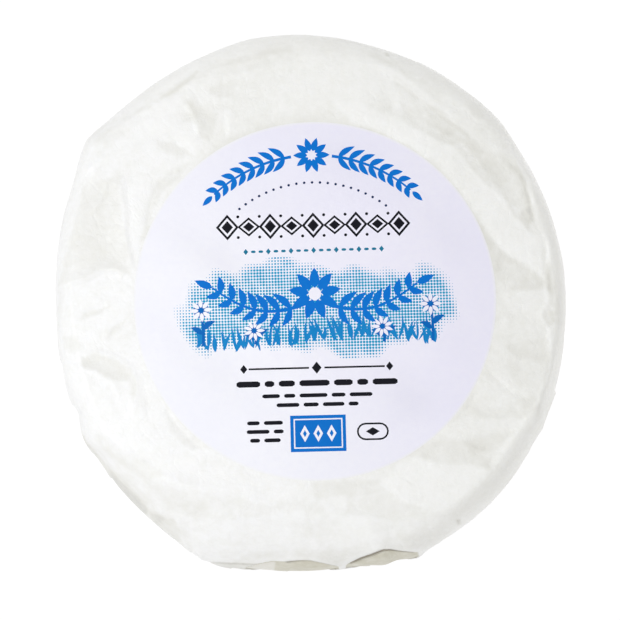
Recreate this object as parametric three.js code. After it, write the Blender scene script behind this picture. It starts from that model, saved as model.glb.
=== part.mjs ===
// A whole soft-ripened cheese wheel, wrapped shut in white waxed paper, with a round
// printed paper label on its top face. It lies flat, label up.
// Millimetres. +Z up, +X to the right and +Y away from the reader of the label.
// The origin is on the table, under the middle of the wheel's bounding box.

import * as THREE from 'three';
import { mergeVertices } from 'three/addons/utils/BufferGeometryUtils.js';

// ---------------------------------------------------------------- driving sizes
const FACE_HEIGHT = 34.2;      // table to the rim of the top face
const FACE_CROWN = 0.9;        // how much the middle of the top face stands above its rim
const LABEL_RADIUS = 70.7;     // the printed disc
const LABEL_THICKNESS = 0.3;   // label paper with its adhesive
const SEAT_GAP = 0.3;          // clearance kept between the label and the wrap

const OUTLINE_RADIUS = 95.9;   // radius of the wrap before its paper corners are added
const OUTLINE_SHIFT = [-2.6, 6.3];     // first harmonic: the wrap's middle from the label's
const OUTLINE_OVAL = [-0.5, -1.8];     // second harmonic: a little longer than wide
// paper corners of the outline: direction (degrees), how far out (mm), spread (degrees)
const CORNERS = [
  { at: 143.6, out: 5.7, spread: 8.8 },    // sharp corner, back left
  { at: 213.0, out: 5.5, spread: 16.0 },   // front left
  { at: 245.5, out: 14.0, spread: 30.5 },  // sharp corner, front
  { at: 301.0, out: 11.9, spread: 45.5 },  // blunt corner, front right
  { at: 332.0, out: 1.9, spread: 4.5 },    // small corner, right
  { at: 44.0, out: 5.7, spread: 44.0 },    // blunt corner, back right
  { at: 104.5, out: 4.7, spread: 40.5 },   // blunt corner, back
];
const CORNER_SOFTNESS = 2.0;   // degrees over which a corner is rounded

const SHOULDER = 8.0;          // width of the rounded shoulder, rim crease to outline
const SHOULDER_BACK = 4.0;     // extra at the back
const SHOULDER_FRONT = 15.5;   // extra at the front, where the wrap slopes out
const SHOULDER_RIGHT = -2.5;   // less at the right, where the wrap is tight
const BELLY_HEIGHT = 14.0;     // height of the widest line of the side
const BELLY_DROP_FRONT = 8.5;  // how much lower it is at the front
const FOOT_TUCK = 6.0;         // how far the wrap turns in under the belly, to the foot
const FOOT_TUCK_FRONT = -2.6;  // less at the front

const PLEATS = 23;             // gathered folds round the side, kept by the tuck underneath
const PLEAT_DEPTH = 1.9;       // at the lower edge
const PLEAT_AT_BELLY = 0.3;    // share of that depth that reaches the widest line
const PLEAT_TAPER = 3.0;       // how fast the folds fade up the shoulder
const GROOVE_DEPTH = 0.7;      // valleys between the folds where they run in under the wheel
const HUB_RADIUS = 26;         // flat middle of the underside, where the folds end
const RESTS_ON = [18, 132, 255];       // directions of the three thickest folds, on which it stands
const OTHERS_CLEAR = 0.2;      // how far the other folds stay above the table

// folds and dents pressed into the shoulder and the outer face: start and end
// (x, y from the middle of the label), rise (mm, minus for a dent) and half width (mm)
const FOLDS = [
  { from: [66, 26], to: [91, 7], rise: 0.7, half: 3.2 },      // long crease, right
  { from: [60, -26], to: [86, -38], rise: -0.8, half: 4.0 },  // valley, lower right
  { from: [74, -14], to: [92, -18], rise: -0.6, half: 3.6 },  // dent, right
  { from: [-93, 8], to: [-72, 9], rise: 0.7, half: 2.6 },     // fold, left
  { from: [-90, -23], to: [-72, -40], rise: 0.8, half: 3.0 }, // curved fold, left
  { from: [-82, 44], to: [-76, 24], rise: -0.9, half: 5.0 },  // dented facet, back left
  { from: [-88, 52], to: [-62, 60], rise: 0.8, half: 3.0 },   // ridge to the corner
  { from: [-54, 72], to: [-44, 60], rise: -0.8, half: 4.5 },  // dented facet, back
  { from: [-84, -52], to: [-37, -74], rise: 0.7, half: 3.4 }, // long ridge, front left
  { from: [-37, -74], to: [0, -79], rise: 0.5, half: 3.4 },   // its end at the front
];

// mesh: directions round the wheel, rings on the label, face, shoulder and tuck
const STEPS = 120;
const LABEL_RINGS = 5;
const FACE_RINGS = 4;
const SHOULDER_RINGS = 6;
const TUCK_RINGS = 4;
const UNDER_RINGS = 3;

// ---------------------------------------------------------------- shape functions
const RAD = Math.PI / 180;
const apart = (a, b) => ((a - b + 540) % 360 + 360) % 360 - 180;       // degrees, signed
const lobe = (deg, at, spread) => Math.exp(-0.5 * (apart(deg, at) / spread) ** 2);
const smooth = (t) => { const u = Math.min(1, Math.max(0, t)); return u * u * (3 - 2 * u); };

// radius of the widest line of the wrap in a direction from the label's middle
function outline(deg) {
  const t = deg * RAD;
  let r = OUTLINE_RADIUS
    + OUTLINE_SHIFT[0] * Math.cos(t) + OUTLINE_SHIFT[1] * Math.sin(t)
    + OUTLINE_OVAL[0] * Math.cos(2 * t) + OUTLINE_OVAL[1] * Math.sin(2 * t);
  for (const c of CORNERS) {
    const d = Math.hypot(apart(deg, c.at), CORNER_SOFTNESS) - CORNER_SOFTNESS;
    r += c.out * Math.exp(-d / c.spread);
  }
  return r;
}

const shoulder = (deg) => SHOULDER
  + SHOULDER_BACK * lobe(deg, 100, 30)
  + SHOULDER_FRONT * lobe(deg, 258, 24)
  + SHOULDER_RIGHT * lobe(deg, 348, 24);

const bellyHeight = (deg) => BELLY_HEIGHT - BELLY_DROP_FRONT * lobe(deg, 262, 42);
const footTuck = (deg) => FOOT_TUCK + FOOT_TUCK_FRONT * lobe(deg, 262, 42);

// one uneven saw-tooth wave per pleat, 0 in the valley and 1 on the fold
function pleat(deg) {
  const turn = (deg / 360) * PLEATS + 0.35 * Math.sin(3 * deg * RAD + 0.8) + 0.22 * Math.sin(7 * deg * RAD);
  const f = turn - Math.floor(turn);
  return f < 0.68 ? f / 0.68 : (1 - f) / 0.32;
}

// height of the gathered folds above the table where they run in under the wheel: the
// three thickest touch it, and the others stay a little clear of it
const groove = (deg) => GROOVE_DEPTH * (1 - pleat(deg)) ** 2;
const foldHeight = (deg) => (RESTS_ON.some((at) => Math.abs(apart(deg, at)) < 0.5) ? 0 : OTHERS_CLEAR + groove(deg));

// rise of all folds and dents at a point of the face or the shoulder
function folds(x, y) {
  let sum = 0;
  for (const f of FOLDS) {
    const [ax, ay] = f.from, [bx, by] = f.to;
    const ux = bx - ax, uy = by - ay;
    const s = Math.min(1, Math.max(0, ((x - ax) * ux + (y - ay) * uy) / (ux * ux + uy * uy)));
    const d = Math.hypot(x - ax - s * ux, y - ay - s * uy) / f.half;
    sum += f.rise * Math.exp(-0.5 * d * d);
  }
  return sum;
}

// height of the top face under and around the label
function face(x, y) {
  const r = Math.hypot(x, y);
  const crown = FACE_CROWN * (1 - smooth((r - 20) / 74));
  const uneven = 0.18 * Math.sin(x / 23 + 0.6) * Math.cos(y / 19 - 0.4) + 0.12 * Math.sin((x - y) / 31);
  return FACE_HEIGHT + crown + uneven;
}

// ---------------------------------------------------------------- meshes
// a closed skin from rings of points, each ring one turn with the same number of points,
// with a point on the axis at either end; rings run from the top, outwards and down
function closedSkin(top, rings, bottom) {
  const n = rings[0].length;
  const position = [...top];
  for (const ring of rings) for (const p of ring) position.push(...p);
  position.push(...bottom);
  const last = position.length / 3 - 1;
  const at = (ring, i) => 1 + ring * n + (i % n);
  const index = [];
  for (let i = 0; i < n; i++) {
    index.push(0, at(0, i), at(0, i + 1));
    for (let k = 0; k + 1 < rings.length; k++) {
      const a = at(k, i), b = at(k, i + 1), c = at(k + 1, i), d = at(k + 1, i + 1);
      index.push(a, c, d, a, d, b);
    }
    index.push(last, at(rings.length - 1, i + 1), at(rings.length - 1, i));
  }
  const geometry = new THREE.BufferGeometry();
  geometry.setAttribute('position', new THREE.Float32BufferAttribute(position, 3));
  geometry.setIndex(index);
  const merged = mergeVertices(geometry, 1e-5);
  merged.computeVertexNormals();
  return merged;
}

const ring = (point) => Array.from({ length: STEPS }, (_, i) => point((i * 360) / STEPS));
const polar = (deg, r) => [r * Math.cos(deg * RAD), r * Math.sin(deg * RAD)];

function wrappedWheel() {
  const rings = [];
  // under the label: plain rings, so that the label lies parallel to the wrap
  for (let k = 1; k <= LABEL_RINGS; k++) {
    rings.push(ring((deg) => {
      const [x, y] = polar(deg, (LABEL_RADIUS * k) / LABEL_RINGS);
      return [x, y, face(x, y)];
    }));
  }
  // the bare paper of the face, out to the crease at its rim
  for (let k = 1; k <= FACE_RINGS; k++) {
    rings.push(ring((deg) => {
      const rim = outline(deg) - shoulder(deg);
      const s = k / FACE_RINGS;
      const [x, y] = polar(deg, LABEL_RADIUS + (rim - LABEL_RADIUS) * s);
      return [x, y, face(x, y) + folds(x, y) * smooth(s * 1.6)];
    }));
  }
  // the shoulder: a quarter of an ellipse from the rim crease to the widest line
  for (let k = 1; k <= SHOULDER_RINGS; k++) {
    rings.push(ring((deg) => {
      const phi = (k / SHOULDER_RINGS) * (Math.PI / 2);
      const wide = outline(deg), w = shoulder(deg), low = bellyHeight(deg);
      const depth = PLEAT_DEPTH * PLEAT_AT_BELLY * (k / SHOULDER_RINGS) ** PLEAT_TAPER;
      const r = wide - w + w * Math.sin(phi) - depth * (1 - pleat(deg));
      const [x, y] = polar(deg, r);
      const rimHeight = face(...polar(deg, wide - w));
      return [x, y, low + (rimHeight - low) * Math.cos(phi) + folds(x, y) * Math.cos(phi)];
    }));
  }
  // the tuck: the wrap turns in under its widest line, and the pleats deepen
  for (let k = 1; k <= TUCK_RINGS; k++) {
    rings.push(ring((deg) => {
      const s = k / TUCK_RINGS, phi = s * (Math.PI / 2);
      const depth = PLEAT_DEPTH * (PLEAT_AT_BELLY + (1 - PLEAT_AT_BELLY) * s);
      const r = outline(deg) - footTuck(deg) * (1 - Math.cos(phi)) - depth * (1 - pleat(deg));
      const [x, y] = polar(deg, r);
      const low = k < TUCK_RINGS ? OTHERS_CLEAR + groove(deg) * s ** 3 : foldHeight(deg);
      return [x, y, bellyHeight(deg) * (1 - Math.sin(phi)) + low];
    }));
  }
  // the underside: the folds run in to a flat middle, on which the wheel rests with them
  for (let k = 1; k <= UNDER_RINGS; k++) {
    rings.push(ring((deg) => {
      const s = k / UNDER_RINGS;
      const foot = outline(deg) - footTuck(deg) - PLEAT_DEPTH * (1 - pleat(deg)) * (1 - s);
      const [x, y] = polar(deg, foot + (HUB_RADIUS - foot) * s);
      return [x, y, k < UNDER_RINGS ? OTHERS_CLEAR + groove(deg) : 0];
    }));
  }
  return closedSkin([0, 0, face(0, 0)], rings, [0, 0, 0]);
}

function labelDisc() {
  const low = [], high = [];
  for (let k = 1; k <= LABEL_RINGS; k++) {
    const at = (deg, lift) => {
      const [x, y] = polar(deg, (LABEL_RADIUS * k) / LABEL_RINGS);
      return [x, y, face(x, y) + lift];
    };
    high.push(ring((deg) => at(deg, SEAT_GAP + LABEL_THICKNESS)));
    low.unshift(ring((deg) => at(deg, SEAT_GAP)));
  }
  return closedSkin([0, 0, face(0, 0) + SEAT_GAP + LABEL_THICKNESS], [...high, ...low], [0, 0, face(0, 0) + SEAT_GAP]);
}

// ---------------------------------------------------------------- the object
const paper = new THREE.MeshStandardMaterial({ color: 0xeeeee9, roughness: 0.5, metalness: 0 });
const print = new THREE.MeshStandardMaterial({ color: 0xf1f0fa, roughness: 0.42, metalness: 0 });

const wheel = new THREE.Mesh(wrappedWheel(), paper);
wheel.name = 'wrapped_wheel';

const label = new THREE.Mesh(labelDisc(), print);
label.name = 'label';

// the shapes are drawn round the label's middle; this group puts the wheel's middle
// over the origin
wheel.geometry.computeBoundingBox();
const box = wheel.geometry.boundingBox;
const brie = new THREE.Group();
const placed = new THREE.Group();
placed.position.set(-(box.min.x + box.max.x) / 2, -(box.min.y + box.max.y) / 2, 0);
placed.add(wheel, label);
brie.add(placed);

export default brie;
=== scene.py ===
"""A whole soft-ripened cheese wheel wrapped in white waxed paper, with a round printed
label, lying flat on a pale studio floor. Lengths are worked out in millimetres round the
label's middle, with +X to the label's right and +Y towards its top, and turned into
metres in the shared frame when the meshes are made."""

import math

import bpy
import numpy as np
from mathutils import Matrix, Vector
from mathutils.geometry import delaunay_2d_cdt


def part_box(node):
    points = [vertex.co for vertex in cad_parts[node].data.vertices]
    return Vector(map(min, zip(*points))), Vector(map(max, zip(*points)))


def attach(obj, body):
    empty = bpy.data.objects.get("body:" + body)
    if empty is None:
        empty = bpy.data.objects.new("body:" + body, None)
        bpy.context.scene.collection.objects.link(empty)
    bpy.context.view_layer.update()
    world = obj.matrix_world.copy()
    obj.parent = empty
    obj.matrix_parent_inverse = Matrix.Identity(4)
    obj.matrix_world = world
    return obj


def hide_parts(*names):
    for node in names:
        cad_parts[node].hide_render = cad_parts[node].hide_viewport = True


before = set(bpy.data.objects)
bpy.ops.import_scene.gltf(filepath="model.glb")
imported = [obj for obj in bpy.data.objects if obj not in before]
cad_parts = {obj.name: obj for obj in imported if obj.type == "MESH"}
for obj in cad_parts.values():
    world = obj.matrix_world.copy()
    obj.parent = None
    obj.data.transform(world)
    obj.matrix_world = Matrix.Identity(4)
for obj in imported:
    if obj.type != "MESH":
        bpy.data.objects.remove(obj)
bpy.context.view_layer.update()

RNG = np.random.RandomState(20)
LO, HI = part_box("label")
MID = ((LO[0] + HI[0]) * 500.0, (LO[1] + HI[1]) * 500.0)      # label's middle, mm
LABEL_R = (HI[0] - LO[0]) * 500.0

# ------------------------------------------------------------------ measures (mm)
FACE_H, CROWN = 34.2, 0.9
SHOULDER, SHOULDER_BACK, SHOULDER_FRONT, SHOULDER_RIGHT = 8.0, 4.0, 15.5, -2.5
BELLY_H, BELLY_DROP = 14.0, 8.5
TUCK, TUCK_FRONT = 6.0, -2.6
# outline corners: direction (deg), how far out, spread (deg), softness (deg)
CORNERS = [(143.6, 5.7, 8.8, 1.2), (213.0, 5.5, 16.0, 1.2), (245.5, 14.0, 30.5, 1.0),
           (301.0, 11.9, 45.5, 2.0), (332.0, 1.9, 4.5, 1.0), (44.0, 5.7, 44.0, 2.0),
           (104.5, 4.7, 40.5, 2.0)]
SCALE = 0.39                    # mm on the top face for each pixel of the photograph
CENTRE_PX = (315.0, 300.0)      # where the label's middle is in the photograph
ELEVATION = math.radians(82.0)
DISTANCE = 1500.0


def at(px, py, z=35.0):
    """The point seen at a pixel of the 620 by 620 photograph, at height z above the table."""
    x = (px - CENTRE_PX[0]) * SCALE
    v = (CENTRE_PX[1] - py) * SCALE
    return x, (v + (35.0 - z) * math.cos(ELEVATION)) / math.sin(ELEVATION)


def seen(X, Y, Z):
    """The photograph's pixel at which each point (mm, round the label's middle) is seen."""
    aim = (-(CENTRE_PX[0] - 310.0) * SCALE, -(310.0 - CENTRE_PX[1]) * SCALE / math.sin(ELEVATION), 34.9)
    dx, dy, dz = X - aim[0], Y - aim[1], Z - aim[2]
    depth = DISTANCE - (-dy * math.cos(ELEVATION) + dz * math.sin(ELEVATION))
    up = dy * math.sin(ELEVATION) + dz * math.cos(ELEVATION)
    k = DISTANCE / SCALE / depth
    return 310.0 + dx * k, 310.0 - up * k


# ------------------------------------------------------------------ shape functions
def smooth(t):
    u = np.clip(t, 0.0, 1.0)
    return u * u * (3 - 2 * u)


def apart(a, b):
    return (a - b + 180.0) % 360.0 - 180.0


def lobe(deg, centre, spread):
    return np.exp(-0.5 * (apart(deg, centre) / spread) ** 2)


def waver(X, Y):
    """A small sideways drift of up to about 1 mm, so that no fold's edge is dead straight."""
    dx = 0.55 * np.sin(Y / 4.7 + 1.9 * np.sin(X / 9.0)) + 0.30 * np.sin((X + Y) / 2.6 + 0.4)
    dy = 0.55 * np.sin(X / 5.3 + 1.7 * np.sin(Y / 8.0 + 1.0)) + 0.30 * np.sin((X - Y) / 2.9)
    return X + dx, Y + dy


def outline(deg):
    t = np.radians(deg)
    r = 95.9 - 2.6 * np.cos(t) + 6.3 * np.sin(t) - 0.5 * np.cos(2 * t) - 1.8 * np.sin(2 * t)
    for centre, out, spread, soft in CORNERS:
        r = r + out * np.exp(-(np.hypot(apart(deg, centre), soft) - soft) / spread)
    return r


# where the outer layer of paper stands out a little more or less: direction, mm, spread
TRIM = [(24, -0.6, 6), (39, -1.2, 5), (62, 0.3, 4), (95, 0.2, 4), (108, -0.5, 9), (136, 0.4, 5), (147, 0.6, 3),
        (160, 0.5, 3), (180, -0.4, 5), (187, 0.7, 3), (198, 0.8, 3.5), (210, 0.6, 2.5), (226, 0.5, 6),
        (243, -0.9, 4), (249, 0.9, 3), (256, 0.3, 3), (266, 0.5, 6), (277, -0.7, 3), (282, 0.6, 5), (285, 0.7, 1.6), (289, 0.9, 3.5), (288, -0.5, 1.3), (292.5, 1.0, 2.2),
        (204, -1.1, 1.8), (213.5, -1.0, 1.8), (218, -0.7, 2.6), (246, -0.6, 1.8),
        (302, -1.6, 4.5), (319, 0.6, 5), (331, -0.4, 3), (343, 0.5, 4)]


def trim(deg):
    return sum(out * lobe(deg, centre, spread) for centre, out, spread in TRIM)


def shoulder(deg):
    return (SHOULDER + SHOULDER_BACK * lobe(deg, 100, 30) + SHOULDER_FRONT * lobe(deg, 258, 24)
            + SHOULDER_RIGHT * lobe(deg, 348, 24))


def belly(deg):
    return BELLY_H - BELLY_DROP * lobe(deg, 262, 42)


def tuck(deg):
    return TUCK + TUCK_FRONT * lobe(deg, 262, 42)


def face(x, y):
    r = np.hypot(x, y)
    crown = CROWN * (1 - smooth((r - 20) / 74))
    return (FACE_H + crown + 0.18 * np.sin(x / 23 + 0.6) * np.cos(y / 19 - 0.4)
            + 0.12 * np.sin((x - y) / 31))


def crease(X, Y, points, rise, left, right, ends=(0.18, 0.18), soft=0.35):
    """A fold along a line: a ridge (or valley, with rise below 0) with straight flanks of
    the given widths, to the left and right of the way the line runs, fading at its ends."""
    p = np.array(points, float)
    seg = np.hypot(*np.diff(p, axis=0).T)
    total = seg.sum()
    best = np.full(X.shape, 1e9)
    side = np.zeros(X.shape)
    along = np.zeros(X.shape)
    gone = 0.0
    for (ax, ay), (bx, by), length in zip(p[:-1], p[1:], seg):
        ux, uy = (bx - ax) / length, (by - ay) / length
        t = np.clip((X - ax) * ux + (Y - ay) * uy, 0, length)
        dx, dy = X - ax - t * ux, Y - ay - t * uy
        d = np.hypot(dx, dy)
        near = d < best
        best = np.where(near, d, best)
        side = np.where(near, ux * dy - uy * dx, side)
        along = np.where(near, (gone + t) / total, along)
        gone += length
    w = np.where(side > 0, left, right)
    d = (np.hypot(best, soft) - soft) / w
    fade = smooth(along / max(ends[0], 1e-3)) * smooth((1 - along) / max(ends[1], 1e-3))
    flank = np.clip(1 - d, 0, 1)
    flank = flank * (1 - 0.35 * (1 - flank))          # eases out at the foot of the flank
    return rise * flank * fade


# folds that show in the photograph: the line's pixels, rise, flanks left and right
FOLDS = [
    # back left
    ([(108, 177), (104, 195), (90, 213)], 0.35, 1.1, 1.1, (0.25, 0.25)),
    ([(56, 281), (75, 281), (90, 279), (100, 272), (118, 270), (133, 274)], 0.8, 5.0, 1.6, (0.05, 0.2)),
    ([(80, 171), (100, 161), (128, 149), (156, 137)], 0.5, 2.4, 1.6, (0.05, 0.3)),
    ([(124, 172), (122, 196), (124, 235), (134, 272)], 0.7, 1.4, 7.0, (0.15, 0.15)),
    ([(155, 137), (172, 140), (194, 156)], -0.35, 3.0, 3.0, (0.2, 0.35)),
    ([(182, 96), (194, 116), (200, 138)], 0.7, 4.5, 1.8, (0.15, 0.25)),
    ([(228, 108), (229, 122), (230, 134)], 0.35, 1.8, 1.8, (0.3, 0.3)),
    ([(192, 162), (166, 178), (152, 196), (148, 216), (142, 242)], -0.4, 1.6, 3.0, (0.2, 0.2)),
    # back: the crease where the face meets the shoulder
    ([(84, 150), (106, 132), (132, 116), (163, 99)], 0.35, 2.2, 1.6, (0.1, 0.15)),
    ([(161, 97), (176, 90), (192, 83)], -0.45, 1.3, 1.3, (0.2, 0.3)),
    ([(192, 84), (214, 76), (236, 71), (266, 64), (309, 62), (372, 61)], 0.26, 1.6, 1.4, (0.15, 0.15)),
    ([(374, 63), (402, 86), (432, 107), (470, 132)], -0.18, 1.4, 1.4, (0.15, 0.25)),
    ([(388, 62), (430, 94), (462, 117), (500, 146), (514, 156)], 0.28, 2.0, 2.8, (0.2, 0.1)),
    # right: the long fold that lies along the label and runs to the rim
    ([(330, 96), (362, 101), (402, 119), (432, 138), (456, 148), (481, 180), (502, 196), (517, 217), (527, 229),
      (546, 241)], 0.46, 3.0, 8.5, (0.25, 0.05)),
    ([(352, 121), (382, 133), (407, 146), (431, 166), (456, 196), (476, 217), (497, 246), (526, 264), (547, 279)],
     -0.22, 5.0, 3.0, (0.3, 0.05)),
    ([(486, 160), (505, 176), (522, 200), (534, 222)], -0.22, 4.0, 4.5, (0.25, 0.1)),
    ([(484, 231), (515, 262), (548, 286)], -0.32, 3.0, 5.0, (0.25, 0.05)),
    ([(498, 292), (520, 291), (540, 296)], 0.35, 2.2, 3.0, (0.3, 0.2)),
    ([(503, 344), (521, 337), (549, 337)], -0.32, 2.0, 6.5, (0.25, 0.1)),
    ([(484, 366), (508, 388), (529, 404)], -0.40, 1.5, 1.2, (0.2, 0.15)),
    ([(462, 402), (481, 408), (506, 410), (524, 414)], -0.45, 1.6, 2.4, (0.25, 0.15)),
    ([(478, 386), (463, 409), (447, 429)], -0.35, 1.8, 1.5, (0.25, 0.25)),
    ([(466, 440), (488, 433), (513, 430)], -0.5, 1.4, 4.5, (0.25, 0.1)),
    ([(405, 456), (441, 462), (492, 469)], 0.55, 5.0, 4.0, (0.2, 0.1)),
    ([(383, 480), (404, 497), (440, 511)], 0.35, 4.0, 1.8, (0.3, 0.1)),
    # the thin raised crease round the right-hand rim
    ([(514, 152), (526, 171), (534, 190), (541, 226), (549, 246), (551, 266), (547, 285), (548, 300),
      (541, 315), (551, 331), (553, 362), (545, 386), (535, 401)], 0.36, 1.3, 1.2, (0.03, 0.06)),
    ([(548, 388), (529, 416), (510, 441), (495, 462)], 0.40, 2.0, 1.4, (0.2, 0.2)),
    ([(440, 512), (418, 515), (398, 519)], 0.35, 1.2, 1.6, (0.2, 0.3)),
    # left
    ([(80, 315), (94, 309), (107, 309)], -0.45, 1.6, 2.4, (0.3, 0.35)),
    ([(109, 337), (116, 328), (127, 319)], -0.35, 1.8, 2.0, (0.3, 0.3)),
    ([(82, 357), (97, 350), (116, 358), (130, 368), (136, 384), (138, 402), (134, 418)], 0.45, 1.8, 3.0, (0.15, 0.2)),
    ([(66, 370), (84, 368), (98, 371), (112, 382), (122, 400)], 0.45, 2.2, 1.6, (0.1, 0.2)),
    ([(146, 392), (151, 406), (150, 420)], -0.16, 1.8, 1.8, (0.3, 0.3)),
    ([(160, 394), (176, 426), (195, 445), (212, 453)], -0.30, 2.4, 2.0, (0.2, 0.35)),
    # front left and front
    ([(84, 431), (110, 448), (136, 466), (152, 479), (176, 481), (220, 488), (270, 498), (314, 494)],
     0.60, 4.0, 5.0, (0.03, 0.25)),
    ([(150, 494), (190, 508), (232, 509)], -0.35, 3.0, 5.0, (0.3, 0.35)),
    ([(178, 520), (188, 511), (202, 504)], 0.35, 1.4, 1.4, (0.2, 0.35)),
]
# the same, on the sloping front, with the height at which they lie
FRONT_FOLDS = [
    ([(147, 509), (178, 520), (186, 541), (208, 561)], 14.0, 0.9, 2.4, 2.6, (0.1, 0.1)),
    ([(318, 502), (360, 511), (398, 518)], 30.0, -0.40, 4.0, 3.0, (0.3, 0.3)),
    ([(258, 520), (266, 545), (262, 562)], 18.0, 0.3, 6.0, 4.0, (0.4, 0.2)),
    ([(430, 528), (438, 540), (441, 549)], 14.0, 0.35, 3.0, 4.0, (0.3, 0.2)),
]
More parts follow.
